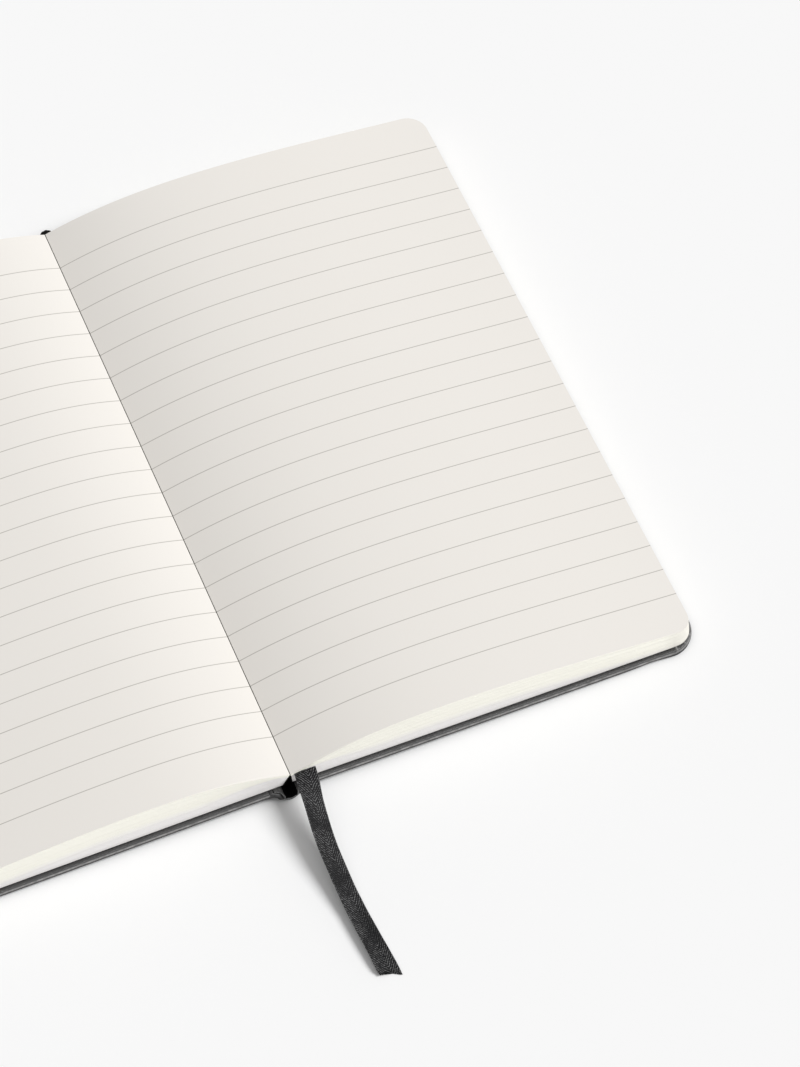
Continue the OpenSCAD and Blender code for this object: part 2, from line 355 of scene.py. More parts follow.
def leatherette(name, gloss):
    """Fine-grained and a little mottled, with a pale highlight painted where the piece's attribute for it
    says so.
    """
    n = Nodes(name)
    at = n.coords()
    cells = n.add("ShaderNodeTexVoronoi", feature="DISTANCE_TO_EDGE")
    n.link(at, cells.inputs["Vector"])
    cells.inputs["Scale"].default_value = 1900
    grain = n.math("ADD", n.map(cells.outputs["Distance"], 0, 0.25, 0, 1), n.noise(at, 900, 3))
    tone = n.map(n.noise(at, 140, 4, 0.6), 0.3, 0.7, 0, 1)
    colour = n.mix(tone, *LEATHER)
    # Painted highlight, paler in patches
    painted_light = n.math("MULTIPLY", n.attribute("painted_highlight"), n.map(n.noise(at, 420, 4, 0.7), 0.36, 0.62, 0.35, 1))
    n.paint(n.mix(painted_light, colour, LEATHER_HIGHLIGHT))
    n.link(n.map(grain, 0, 2, 0.46, 0.28), n.shader.inputs["Roughness"])
    n.bump(grain, 0.05 * MM, 0.7)
    n.set(Specular_IOR_Level=gloss)
    return n.material


def rim_highlight_leather():
    """Leatherette painted paler along a turned rim, as a patchy highlight."""
    n = Nodes("rim_highlight_leatherette")
    at = n.coords()
    rim_patches = n.map(n.noise(at, 800, 3, 0.7), 0.35, 0.65, 0, 1)
    n.paint(n.mix(rim_patches, *LEATHER_RIM_HIGHLIGHT))
    n.bump(n.noise(at, 900, 3), 0.04 * MM, 0.6)
    n.set(Roughness=0.5, Specular_IOR_Level=0.5)
    return n.material


def book_cloth(name, dark, pale):
    """Plain weave of two tones."""
    n = Nodes(name)
    weave = n.add("ShaderNodeTexChecker")
    n.link(n.coords(), weave.inputs["Vector"])
    weave.inputs["Scale"].default_value = 3500
    n.paint(n.mix(weave.outputs["Fac"], dark, pale))
    n.bump(weave.outputs["Fac"], 0.06 * MM, 0.6)
    n.set(Roughness=0.9, Specular_IOR_Level=0.08)
    return n.material


def grey_card():
    n = Nodes("grey_card")
    speck = n.noise(n.coords(), 700, 5, 0.7)
    n.paint(n.mix(n.map(speck, 0.3, 0.7, 0, 1), *CARD))
    n.bump(speck, 0.08 * MM, 0.6)
    n.set(Roughness=0.9, Specular_IOR_Level=0.2)
    return n.material


# The ribbon's weave: its ribs lean away from a line a little right of the middle
RIB_SLANT = 1.3
RIB_PITCH = 1.0 * MM
DASH_PITCH = 0.7 * MM
KNOT_PITCH = 0.9 * MM
RIB_MIDDLE = 0.55 * MM
SELVEDGE_FROM = 2.85 * MM
SELVEDGE_FULL = 2.95 * MM


def ribbon_weave():
    """Herringbone: ribs of short floats that slant away from the middle, their pale tone a painted
    highlight, and pale flecks along the selvedge painted as glints.
    """
    n = Nodes("ribbon_weave")
    across, along = n.split(n.add("ShaderNodeUVMap", uv_map="ribbon").outputs[0])
    at = n.coords()
    fuzz = n.noise(at, 1700, 3, 0.7)
    drift = n.map(n.noise(at, 420, 2, 0.5), 0.3, 0.7, -1.9, 1.9)
    slant = n.math("MULTIPLY", n.math("ABSOLUTE", n.math("SUBTRACT", across, RIB_MIDDLE)), RIB_SLANT)
    phase = n.math("ADD", n.math("MULTIPLY", n.math("ADD", along, slant), math.tau / RIB_PITCH), drift)
    rib = n.map(n.math("SINE", phase), 0.0, 0.7, 0, 1)
    dash = n.math("SINE", n.math("ADD", n.math("MULTIPLY", along, math.tau / DASH_PITCH), phase))
    floats = n.math("MULTIPLY", rib, n.map(dash, -0.4, 0.5, 0.25, 1))
    # The painted highlight is stronger and weaker in patches
    patchy_highlight = n.map(n.noise(at, 105, 3, 0.55), 0.40, 0.62, 0.35, 1.5)
    tone = n.math("MULTIPLY", n.math("MULTIPLY", floats, n.map(fuzz, 0.4, 0.6, 0.1, 1.2)), patchy_highlight)
    # Painted glints along the selvedge
    selvedge = n.map(n.math("ABSOLUTE", across), SELVEDGE_FROM, SELVEDGE_FULL, 0, 1)
    knots = n.math("GREATER_THAN", n.math("SINE", n.math("MULTIPLY", along, math.tau / KNOT_PITCH)), 0.35)
    selvedge_glints = n.math("MULTIPLY", n.math("MULTIPLY", selvedge, knots), n.map(fuzz, 0.45, 0.7, 0, 1))
    n.paint(n.mix(selvedge_glints, n.mix(tone, *RIBBON_GROUND_AND_GLINT), RIBBON_SELVEDGE_GLINT))
    n.bump(n.math("ADD", floats, fuzz), 0.09 * MM, 0.9)
    n.set(Roughness=0.55, Specular_IOR_Level=0.13)
    return n.material


# Shapes of the pages
def hermite(t, run, a, b, slope_a, slope_b):
    """Smooth curve over a run, from height a to height b with the two slopes at its ends."""
    return (a * (2 * t**3 - 3 * t**2 + 1) + b * (3 * t**2 - 2 * t**3)
            + run * (slope_a * (t**3 - 2 * t**2 + t) + slope_b * (t**3 - t**2)))


def top_z(side, x):
    """Height of the top leaf at distance x from the gutter."""
    if x <= side["crest_x"]:
        run = side["crest_x"] - HALF_GUTTER
        return hermite((x - HALF_GUTTER) / run, run, GUTTER_Z, side["crest_z"], side["slope"], 0)
    run = PAGE_W - side["crest_x"]
    return hermite((x - side["crest_x"]) / run, run, side["crest_z"], FORE_Z, 0, FORE_SLOPE)


def foot_z(x):
    """Height of the lowest leaf, which lies on the cover's endpaper."""
    return COVER_T / math.cos(COVER_TILT) + (COVER_REACH - x) * math.tan(COVER_TILT) + FOOT_CLEAR


LEAF_GROUPS = 26
GROOVE = 0.05 * MM
TAIL_SLOPE = 0.25 * MM
# The top leaves fan a little: how deep that goes at the crest, and how far the topmost one is set back
FAN_DEPTH = 8.2 * MM
FAN_BACK = 0.7 * MM
# Share of that depth at the gutter, and the shares of it between which the band fades
FAN_AT_GUTTER = 0.14
FADE_FROM = 0.55
FADE_OVER = 0.6
# How far from the tail the ruled paper still has the band's painted glow
TAIL_GLOW = 0.9 * MM
COLUMNS = 60
CORNER_COLUMNS = 8
ROWS = 36


def fan_reach(x):
    """Fanned leaves thin out toward the gutter. Share of the full depth at distance x from it."""
    return FAN_AT_GUTTER + (1 - FAN_AT_GUTTER) * smooth((x - 1 * MM) / (30 * MM))


def leaf_depth(side, share, x):
    """Depth of a leaf under the top one, as a share of the fanned depth there."""
    place = max(min(x, PAGE_W), HALF_GUTTER)
    return (1 - share) * (top_z(side, place) - foot_z(place)) / (FAN_DEPTH * fan_reach(place))


def leaf_outline(side, share, inset):
    """Columns of one leaf's outline from gutter to fore-edge: (x, reach to the tail, reach to the head)."""
    reach = PAGE_W + FORE_LEAN * (1 - share) - inset
    back = HALF_GUTTER + (side["back_x"] - HALF_GUTTER) * (1 - share)
    half = PAGE_L / 2 - TAIL_SLOPE * (1 - share) - inset
    r = PAGE_CORNER_R - inset
    columns = []
    for i in range(COLUMNS):
        t = i / COLUMNS
        columns.append((back + (reach - r - back) * t * (0.7 + 0.3 * t), half, 1.0))
    for i in range(CORNER_COLUMNS + 1):
        a = math.pi / 2 * i / CORNER_COLUMNS
        columns.append((reach - r + r * math.sin(a), half - r + r * math.cos(a), math.cos(a) ** 3))
    return [(x, end - tail * FAN_BACK * fan_reach(x) * max(0.0, 1 - leaf_depth(side, share, x)) ** 2, end)
            for x, end, tail in columns]


def leaf_z(side, share, x):
    x_top = min(x, PAGE_W)
    return foot_z(x) + share * (top_z(side, max(x_top, HALF_GUTTER)) - foot_z(x))


def page_levels():
    """(share of the stack's height, inset) of each ring up the side: ridges with grooves between."""
    levels = [(0.0, GROOVE)]
    for g in range(LEAF_GROUPS):
        loose = random.uniform(-0.5, 1.0) * GROOVE
        levels.append(((g + 0.5) / LEAF_GROUPS, loose))
        levels.append(((g + 1) / LEAF_GROUPS, loose + GROOVE if g < LEAF_GROUPS - 1 else 0.0))
    return levels


def page_stack(name, side, paper, edges, plain):
    """One side's leaves as a closed mesh: ridged edges, an arched top grid and a flat foot."""
    sign = side["sign"]
    verts, shares, fans, faces, slots = [], [], [], [], []
    levels = page_levels()
    for share, inset in levels:
        columns = leaf_outline(side, share, inset)
        fore = columns[-1]
        back = columns[0]
        ring = [(x, -tail) for x, tail, head in columns]
        ring += [(fore[0], -fore[1] + (fore[1] + fore[2]) * j / ROWS) for j in range(1, ROWS)]
        ring += [(x, head) for x, tail, head in reversed(columns)]
        ring += [(back[0], back[2] - (back[1] + back[2]) * j / ROWS) for j in range(1, ROWS)]
        for x, y in ring:
            verts.append((sign * x, y, leaf_z(side, share, x)))
            shares.append(share)
            fans.append(1 - smooth((leaf_depth(side, share, x) - FADE_FROM) / FADE_OVER))
    count = len(ring)
    faces += sweep_faces(len(levels), count)
    slots += [1] * len(faces)
    top = (len(levels) - 1) * count
    last = len(columns) - 1
    grid = {}
    for i, (x, tail, head) in enumerate(columns):
        for j in range(ROWS + 1):
            if j == 0:
                grid[i, j] = top + i
            elif j == ROWS:
                grid[i, j] = top + last + ROWS + (last - i)
            elif i == last:
                grid[i, j] = top + last + j
            elif i == 0:
                grid[i, j] = top + count - j
            else:
                grid[i, j] = len(verts)
                verts.append((sign * x, -tail + (tail + head) * j / ROWS, leaf_z(side, 1, x)))
                shares.append(1.0)
                fans.append(1.0)
    for i in range(last):
        for j in range(ROWS):
            faces.append((grid[i, j], grid[i + 1, j], grid[i + 1, j + 1], grid[i, j + 1]))
            slots.append(0)
    faces.append(tuple(reversed(range(count))))
    slots.append(2)
    if sign < 0:
        faces = [tuple(reversed(f)) for f in faces]
    piece = add_piece(name, verts, faces, [paper, edges, plain], slots, sharp_deg=50)
    for key, values in (("leaf", shares), ("fan", fans)):
        piece.data.attributes.new(key, "FLOAT", "POINT").data.foreach_set("value", values)
    return piece


SPLIT_Z = GUTTER_Z - 0.1 * MM


def cut_at_height(piece, name, keep_above):
    """A copy of the piece above or below the split, closed again with a flat face."""
    mesh = piece.data.copy()
    mesh.name = name
    bm = bmesh.new()
    bm.from_mesh(mesh)
    geometry = bm.verts[:] + bm.edges[:] + bm.faces[:]
    cut = bmesh.ops.bisect_plane(
        bm, geom=geometry, dist=1e-8, plane_co=(0, 0, SPLIT_Z), plane_no=(0, 0, 1),
        clear_inner=keep_above, clear_outer=not keep_above)
    rim = [e for e in cut["geom_cut"] if isinstance(e, bmesh.types.BMEdge)]
    made = bmesh.ops.edgeloop_fill(bm, edges=rim)
    for face in made["faces"]:
        face.material_index = 2
        face.smooth = False
    bmesh.ops.recalc_face_normals(bm, faces=made["faces"])
    bm.to_mesh(mesh)
    bm.free()
    return add_object(name, mesh)


def make_pages(node, body, side, materials):
    """The stack up to gutter height keeps its form. The arch above it is a piece of its own."""
    whole = page_stack(node + "_whole", side, *materials)
    block = cut_at_height(whole, node + "_block", keep_above=False)
    arch = cut_at_height(whole, node + "_arch", keep_above=True)
    bpy.data.objects.remove(whole)
    for part in (block, arch):
        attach(part, body)
        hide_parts(node)
    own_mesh(arch)


# Covers
# The leatherette is pressed a little rounder than the board inside it
CORNER_PRESS = 0.9 * MM
FORE_PRESS = 0.12 * MM
SIDE_STEPS = 48
LONG_STEPS = 64
OUTER_CORNER_STEPS = 54
INNER_CORNER_STEPS = 4
INNER_CORNER_R = 0.6 * MM


def ring_outline(inset):
    """(x, y) points round a cover in its own plane, from the spine side out, drawn in by inset."""
    w, half = COVER_W - FORE_PRESS, COVER_L / 2
    r = max(COVER_CORNER_R + CORNER_PRESS - inset, 0.3 * MM)
    r_in = max(INNER_CORNER_R - inset, 0.2 * MM)
    x0, x1, y1 = inset, w - inset, half - inset
    points = []

    def straight(a, b, steps):
        for i in range(steps):
            points.append((a[0] + (b[0] - a[0]) * i / steps, a[1] + (b[1] - a[1]) * i / steps))

    def turn(centre, radius, start, steps):
        for i in range(steps):
            a = math.radians(start + 90 * i / steps)
            points.append((centre[0] + radius * math.cos(a), centre[1] + radius * math.sin(a)))

    straight((x0 + r_in, -y1), (x1 - r, -y1), SIDE_STEPS)
    turn((x1 - r, -y1 + r), r, -90, OUTER_CORNER_STEPS)
    straight((x1, -y1 + r), (x1, y1 - r), LONG_STEPS)
    turn((x1 - r, y1 - r), r, 0, OUTER_CORNER_STEPS)
    straight((x1 - r, y1), (x0 + r_in, y1), SIDE_STEPS)
    turn((x0 + r_in, y1 - r_in), r_in, 90, INNER_CORNER_STEPS)
    straight((x0, y1 - r_in), (x0, -y1 + r_in), LONG_STEPS)
    turn((x0 + r_in, -y1 + r_in), r_in, 180, INNER_CORNER_STEPS)
    return points


# The pressed edge in mm, (inset, height), from the top down: a rounded shoulder, a step and a round belly
EDGE_ROUND = [
    (0.62, 2.09), (0.50, 2.05), (0.40, 1.97), (0.33, 1.86), (0.29, 1.74), (0.275, 1.62), (0.26, 1.52),
    (0.22, 1.42), (0.15, 1.32), (0.07, 1.21), (0.02, 1.09), (0.0, 0.95), (0.01, 0.80), (0.04, 0.64),
    (0.09, 0.48), (0.18, 0.32), (0.32, 0.17), (0.52, 0.06), (0.9, 0.0)]
# Height of the pale line painted as a highlight along the edge, and how far it spreads
LIP_Z = 1.45 * MM
LIP_SPREAD = 0.26 * MM
# Rings of the profile between which the edge's lower part lies, given a duller copy of the leatherette as
# painted shade
FIRST_LOW_RING = 17
LAST_LOW_RING = 26


def edge_profile():
    """(inset, height) down a cover's wrapped edge, from under the endpaper to the outer face."""
    points = [(TURN_IN, COVER_T - 0.14 * MM), (TURN_IN - 0.2 * MM, COVER_T - 0.02 * MM)]
    points += [(inset, COVER_T) for inset in (TURN_IN - 0.8 * MM, 6 * MM, 3 * MM, 1.6 * MM, 1.0 * MM)]
    points += [(inset * MM, height * MM) for inset, height in EDGE_ROUND]
    points += [(inset, 0) for inset in (1.6 * MM, 4 * MM, TURN_IN)]
    return points


# The board inside the leatherette: how far in and how deep its rounded edge begins and ends
BOARD_IN = 0.4 * MM
BOARD_FACE_IN = 0.6 * MM
BOARD_DEEP = 0.5 * MM
BOARD_FACE_DEEP = 0.36 * MM


def make_board(name, node, body, sign, card):
    """Card board inside the leatherette, with the same pressed corners."""
    rings = [(BOARD_FACE_IN, BOARD_FACE_DEEP), (BOARD_IN, BOARD_DEEP),
             (BOARD_IN, COVER_T - BOARD_DEEP), (BOARD_FACE_IN, COVER_T - BOARD_FACE_DEEP)]
    verts = [(x, y, z) for inset, z in rings for x, y in ring_outline(inset)]
    count = len(verts) // len(rings)
    faces = sweep_faces(len(rings), count)
    faces += [tuple(reversed(range(count))), tuple(range(len(verts) - count, len(verts)))]
    piece = add_piece(name, place_cover(verts, sign), faces, [card])
    make_normals_outward(piece)
    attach(piece, body)
    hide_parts(node)


def place_cover(verts, sign):
    """From a cover's own plane, outer face down, to where it lies beside the spine."""
    lay = Matrix.Translation((COVER_REACH, 0, 0)) @ Matrix.Rotation(COVER_TILT, 4, "Y")
    lay = lay @ Matrix.Translation((-COVER_W, 0, 0))
    placed = [lay @ Vector(v) for v in verts]
    return placed if sign > 0 else [Vector((-v.x, v.y, v.z)) for v in placed]


PLEATS = 7
PLEAT_DEPTH = 0.26 * MM
EDGE_WAVE = 0.10 * MM
# Where a cover's tail edge is pinched and then swells beside its corner: (place along it, reach, amount)
EDGE_SWELLS = [(105.5 * MM, 4.5 * MM, -0.30 * MM), (115.5 * MM, 5.5 * MM, 0.42 * MM)]


def pleat(x, y, z, inset):
    """How strongly the leatherette is gathered here, 0 to 1, where it turns round an outer corner."""
    from_corner = Vector((x - (COVER_W - COVER_CORNER_R), abs(y) - (COVER_L / 2 - COVER_CORNER_R)))
    if from_corner.x <= 0 or from_corner.y <= 0 or z < COVER_T - 0.6 * MM or inset > 8 * MM:
        return 0.0
    a = math.atan2(from_corner.y, from_corner.x)
    fold = max(0.0, math.sin(a * 2 * PLEATS + 0.6 * math.copysign(1, y))) ** 5
    return fold * smooth(inset / (0.5 * MM)) * (1 - smooth((inset - 5 * MM) / (3 * MM)))


def cover_point(x, y, z, inset):
    """Leatherette settles a little unevenly: pleats round the corners, soft waves along the edges."""
    z += PLEAT_DEPTH * pleat(x, y, z, inset)
    wave = noise.noise(Vector((x * 55, y * 55, 3.1)))
    low = 1 - smooth(z / COVER_T * 1.4)
    if inset < 4 * MM:
        z += EDGE_WAVE * wave * low * (1 if z > 0.05 * MM else 0.3) + (EDGE_WAVE * 0.3 * low)
        if y < 0:
            share = (1 - smooth(inset / (3 * MM))) * (0.35 + 0.65 * low)
            for place, reach, amount in EDGE_SWELLS:
                y -= amount * math.exp(-((x - place) / reach) ** 2) * share
    return x, y, z


def make_cover(name, node, body, sign, skin, painted_light):
    """Leatherette wrapped round a board: pressed edges, turned-in margin and pleated corners."""
    profile = edge_profile()
    verts = []
    for inset, z in profile:
        for x, y in ring_outline(inset):
            verts.append(cover_point(x, y, z, inset))
    count = len(ring_outline(0))
    faces = sweep_faces(len(profile), count, flip=True)
    faces.append(tuple(range(count)))
    first = (len(profile) - 1) * count
    faces.append(tuple(reversed(range(first, first + count))))
    # The lower part of the edge takes the duller copy, as painted shade
    low = range(FIRST_LOW_RING * count, LAST_LOW_RING * count)
    slots = [int(i in low) for i in range(len(faces))]
    piece = add_piece(name, place_cover(verts, sign), faces, [skin, painted_light], slots, sharp_deg=60)
    make_normals_outward(piece)
    # Painted highlight: a pale line along the lip of the edge, and on the crests of the corner pleats
    painted_highlight = []
    for inset, z in profile:
        lip = math.exp(-((z - LIP_Z) / LIP_SPREAD) ** 2) if inset < 0.4 * MM else 0.0
        painted_highlight += [max(lip, 0.8 * pleat(x, y, z, inset)) for x, y in ring_outline(inset)]
    piece.data.attributes.new("painted_highlight", "FLOAT", "POINT").data.foreach_set("value", painted_highlight)
    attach(piece, body)
    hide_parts(node)


# Spine
def arc_points(centre, r, start, end, steps):
    points = []
    for i in range(steps + 1):
        a = math.radians(start + (end - start) * i / steps)
        points.append((centre[0] + r * math.cos(a), centre[1] + r * math.sin(a)))
    return points


def spine_centreline():
    """Middle of the spine's skin from the right lip round the loop to the left lip, as (x, z)."""
    lip_z = JOINT_Z - SKIN_T / 2
    mid_r = LOOP_R - SKIN_T / 2
    flare = math.degrees(math.asin((LOOP_R + FLARE_R - lip_z) / (mid_r + FLARE_R)))
    across = (mid_r + FLARE_R) * math.cos(math.radians(flare))
    centre_z = lip_z - FLARE_R
    points = [(LIP_X, lip_z), (LIP_X - 1.2 * MM, lip_z)]
    points += arc_points((LOOP_X + across, centre_z), FLARE_R, 90, 180 - flare, 8)
    points += arc_points((LOOP_X, LOOP_R), mid_r, -flare, -180 + flare, 28)[1:-1]
    points += arc_points((LOOP_X - across, centre_z), FLARE_R, flare, 90, 8)
    points += [(-LIP_X + 0.6 * MM, lip_z), (-LIP_X, lip_z)]
    return points


def normals_2d(points):
    """Unit normals of a line of (x, z) points, on its upper or inner side."""
    normals = []
    for i, point in enumerate(points):
        a = Vector(points[max(i - 1, 0)])
        b = Vector(points[min(i + 1, len(points) - 1)])
        d = (b - a).normalized()
        normals.append(Vector((d.y, -d.x)))
    return normals


def end_reach(x):
    """How far from the middle the spine's skin runs: further along the loop than at the lips."""
    beside = smooth((abs(x - LOOP_X) - LOOP_R * 0.9) / (1.3 * MM))
    return COVER_L / 2 + CAP_SEEN - beside * (CAP_SEEN + 0.25 * MM)


# Places round the spine's section where the rim, painted pale as a highlight, and the inner side, painted
# near-black as shade in the loop, begin
FIRST_RIM = 6
FIRST_INNER = 10
# Thickness of its folded ends at the lips, and how much more they have in the loop
RIM_T = 0.55 * MM
RIM_MORE = 0.45 * MM
RIM_STEPS = 10


def make_spine(skin, patchy_highlight, inner):
    """Spine skin with its ends folded in over the card strip."""
    line = spine_centreline()
    normals = normals_2d(line)
    verts = []
    for (x, z), n in zip(line, normals):
        in_loop = 1 - smooth((abs(x - LOOP_X) - 1.2 * MM) / (0.8 * MM)) * (1 if z > LOOP_R * 0.5 else 0.4)
        half_t = SKIN_T / 2
        rim = RIM_T + RIM_MORE * in_loop
        reach = end_reach(x)
        section = []
        for end in (-1, 1):
            steps = [(-half_t, reach - 3 * MM), (-half_t, reach - 1.2 * MM)]
            steps += [(-half_t + rim / 2 * (1 - math.cos(a)), reach - rim / 2 * (1 - math.sin(a)))
                      for a in [math.pi * i / RIM_STEPS for i in range(RIM_STEPS + 1)]]
            steps += [(rim - half_t, reach - 3 * MM), (rim - half_t, reach - TURN_IN + 0.2 * MM),
                      (half_t, reach - TURN_IN)]
            part = [(off, end * y) for off, y in steps]
            section += part if end < 0 else list(reversed(part))
        verts += [(x + n.x * off, y, z + n.y * off) for off, y in section]
    count = len(verts) // len(line)
    faces = sweep_faces(len(line), count, flip=True)
    faces.append(tuple(range(count)))
    faces.append(tuple(reversed(range(len(verts) - count, len(verts)))))
    # Inside the loop the skin takes the near-black painted shade, and its rim the painted highlight
    slots = []
    for i in range(len(faces)):
        place = min(i % count, count - 2 - i % count) if i < count * (len(line) - 1) else 0
        in_loop = abs(line[min(i // count, len(line) - 1)][0] - LOOP_X) < LOOP_R
        if place >= FIRST_INNER and in_loop:
            slots.append(2)
        else:
            slots.append(1 if FIRST_RIM <= place < FIRST_INNER else 0)
    piece = add_piece("spine_skin", verts, faces, [skin, patchy_highlight, inner], slots, sharp_deg=60)
    make_normals_outward(piece)
    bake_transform(piece)
    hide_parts("spine_wrap")


def make_strip(lining):
    """Card strip inside the loop, painted near-black as the shade in the hollow, and bent with the skin."""
    outer = LOOP_R - SKIN_T - 0.03 * MM
    half = COVER_L / 2 + CAP_OUT - 0.35 * MM
    verts = []
    for y in (-half, half):
        verts += [(x, y, z) for x, z in arc_points((LOOP_X, LOOP_R), outer, -160, -20, 24)]
        verts += [(x, y, z) for x, z in arc_points((LOOP_X, LOOP_R), outer - STRIP_T, -20, -160, 24)]
    count = len(verts) // 2
    faces = sweep_faces(2, count)
    faces += [tuple(reversed(range(count))), tuple(range(count, 2 * count))]
    piece = add_piece("spine_card", verts, faces, [lining])
    make_normals_outward(piece)
    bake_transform(piece)
    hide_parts("spine_strip")


# Where the joint's foot ends on the cover, and (x, z) in mm along its top from there back to the loop
JOINT_FOOT_X = 7.6 * MM
JOINT_TOP = [
    (6.95, 1.75), (6.8, 2.3), (6.75, 3.3), (6.35, 3.42), (5.9, 3.42), (5.5, 3.36), (5.3, 3.16), (4.0, 3.15)]
# Its rounded ends in mm: (distance back from the end, inset)
JOINT_ROUNDING = [
    (0.0, 0.85), (0.05, 0.60), (0.14, 0.41), (0.27, 0.25), (0.45, 0.12), (0.65, 0.04), (0.9, 0.0)]
# How far the ends stand out past the cover at the loop, and how much further back they are at the cover
JOINT_END_OUT = 1.25 * MM
JOINT_END_BACK = 1.27 * MM
JOINT_STEPS = 40
JOINT_FOOT_STEPS = 14
JOINT_CREASE = 0.06 * MM


def joint_section(sign):
    """Closed (x, z) outline of the padded leatherette between the loop's flank and the cover's board."""
    centre = sign * LOOP_X
    low = arc_points((centre, LOOP_R), LOOP_R - 0.05 * MM, -12, -52, 7)
    start = Vector(low[-1])
    end = Vector((JOINT_FOOT_X, (COVER_REACH - JOINT_FOOT_X) * math.tan(COVER_TILT) - 0.01 * MM))
    run = end.x - start.x
    points = list(low)
    for i in range(1, JOINT_FOOT_STEPS + 1):
        t = i / JOINT_FOOT_STEPS
        points.append((start.x + run * t, hermite(t, run, start.y, end.y, 0.02, 0.05)))
    points.append((JOINT_FOOT_X, end.y + 0.12 * MM))
    points += [(x * MM, z * MM) for x, z in JOINT_TOP]
    points += [(centre + LOOP_R + 0.75 * MM, 3.15 * MM), (centre + LOOP_R + 0.15 * MM, 2.75 * MM)]
    return points


def joint_reach(x, sign):
    """The joint's ends run from the loop's cap back to the cover's edge."""
    beside = smooth((x - sign * LOOP_X - LOOP_R * 0.85) / (4.2 * MM))
    return COVER_L / 2 + JOINT_END_OUT - JOINT_END_BACK * beside


def make_joint(name, sign, skin):
    """Leatherette between the spine and a cover, where the cover bends."""
    outline = joint_section(sign)
    middle = Vector((sum(x for x, _ in outline), sum(z for _, z in outline))) / len(outline)
    stations = [(-1, back, inset) for back, inset in JOINT_ROUNDING]
    stations += [(-1 + 2 * j / JOINT_STEPS, *JOINT_ROUNDING[-1]) for j in range(1, JOINT_STEPS)]
    stations += [(1, back, inset) for back, inset in reversed(JOINT_ROUNDING)]
    verts = []
    for along, back, inset in stations:
        for x, z in outline:
            drawn = Vector((x, z)) + (middle - Vector((x, z))).normalized() * inset * MM
            crease = JOINT_CREASE * noise.noise(Vector((x * 400, along * 30, 1.7)))
            verts.append((sign * drawn.x, along * (joint_reach(x, sign) - back * MM), drawn.y + crease))
    count = len(outline)
    faces = sweep_faces(len(stations), count)
    faces += [tuple(range(count)), tuple(reversed(range(len(verts) - count, len(verts))))]
    piece = add_piece(name, verts, faces, [skin], sharp_deg=85)
    make_normals_outward(piece)
    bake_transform(piece)


# The lining's rolled end: where it starts, how far it runs across and climbs, its arch and its two radii
ROLL_START = Vector((-1.5, 0, 7.55)) * MM
ROLL_RUN = 3.75 * MM
ROLL_CLIMB = 0.5 * MM
ROLL_ARCH = 0.35 * MM
ROLL_R_OUT = 0.85 * MM
ROLL_R_UP = 1.0 * MM


def make_lining_roll(cloth):
    """The rolled end of the spine lining that stands out at the head of the gutter."""
    verts = []
    rings, sides = 14, 12
    for i in range(rings + 1):
        t = i / rings
        swell = max(0.12, math.sin(math.pi * min(max(t, 0.02), 0.98))) ** 0.6
        lump = 1 + 0.25 * noise.noise(Vector((t * 6, 0.3, 9.1)))
        z = ROLL_START.z + ROLL_CLIMB * t + ROLL_ARCH * math.sin(math.pi * t)
        for k in range(sides):
            a = math.tau * k / sides
            y = PAGE_L / 2 + ROLL_R_OUT + ROLL_R_OUT * swell * lump * math.cos(a)
            verts.append((ROLL_START.x + ROLL_RUN * t, y, z + ROLL_R_UP * swell * lump * math.sin(a)))
    faces = sweep_faces(rings + 1, sides)
    faces += [tuple(range(sides)), tuple(reversed(range(rings * sides, (rings + 1) * sides)))]
    piece = add_piece("lining_roll", verts, faces, [cloth])
    make_normals_outward(piece)
    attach(piece, "back_half")


# Ribbon
def ribbon_curve(samples):
    """Points along a smooth curve through the route."""
    points = []
    line = RIBBON_LINE
    for i in range(len(line) - 1):
        a = line[max(i - 1, 0)]
        b, c = line[i], line[i + 1]
        d = line[min(i + 2, len(line) - 1)]
        for k in range(samples):
            t = k / samples
            points.append(0.5 * ((2 * b) + (c - a) * t + (2 * a - 5 * b + 4 * c - d) * t**2
                                 + (3 * b - a - 3 * c + d) * t**3))
    points.append(line[-1])
    return points


# How far the ribbon banks: (distance out from the pages in mm, degrees that its left edge is up)
RIBBON_BANK = [
    (0, -9.6), (3, 4), (6, 16), (10, 23), (36, 25), (44, 21), (54, 18), (59, 15), (62, 11), (66, 4)]
# How far it rides above the route: (distance out in mm, height in mm)
RIBBON_RISE = [(0, 0.65), (4, 0.85), (10, 1.2), (26, 1.2), (38, 0.6), (50, 0.1), (66, 0)]
# How far it strays to the right of the route: (distance out in mm, reach in mm)
RIBBON_STRAY = [
    (0, -0.12), (4, -0.1), (26, -0.18), (38, 0.0), (44, 0.18), (50, 0.34), (56, 0.42), (61, 0.34),
    (66, 0.15)]
RIBBON_SEEN_W = 6.4 * MM
RIBBON_HALF_T = 0.16 * MM
RIBBON_CUP = 0.22 * MM
RIBBON_RIPPLE = 0.10 * MM
# Least heights above the table of its middle, its upper face and its under face
RIBBON_MIDDLE_Z = 0.12 * MM
RIBBON_UPPER_Z = 0.22 * MM
RIBBON_UNDER_Z = 0.05 * MM
# Each ring of it stays this much further out from the pages than the one before
RIBBON_AWAY = 0.03 * MM
# How far from the cut end its slant and its kink reach, and how far the kink draws in each side
CUT_REACH = 4 * MM
KINK_REACH = 2.6 * MM
KINK_LEFT = 0.45 * MM
KINK_RIGHT = 0.15 * MM
# The cut end: (place across from -1 at the left edge to 1, reach past the route's end in mm)
RIBBON_CUT = [(-1, -1.4), (-0.35, -1.6), (0, -1.2), (0.5, 0.0), (1, 1.0)]


def table_value(rows, at):
    """Straight-line value between the rows of a table."""
    for (a, low), (b, high) in zip(rows, rows[1:]):
        if at <= b:
            return low + (high - low) * max(0.0, at - a) / (b - a)
    return rows[-1][1]


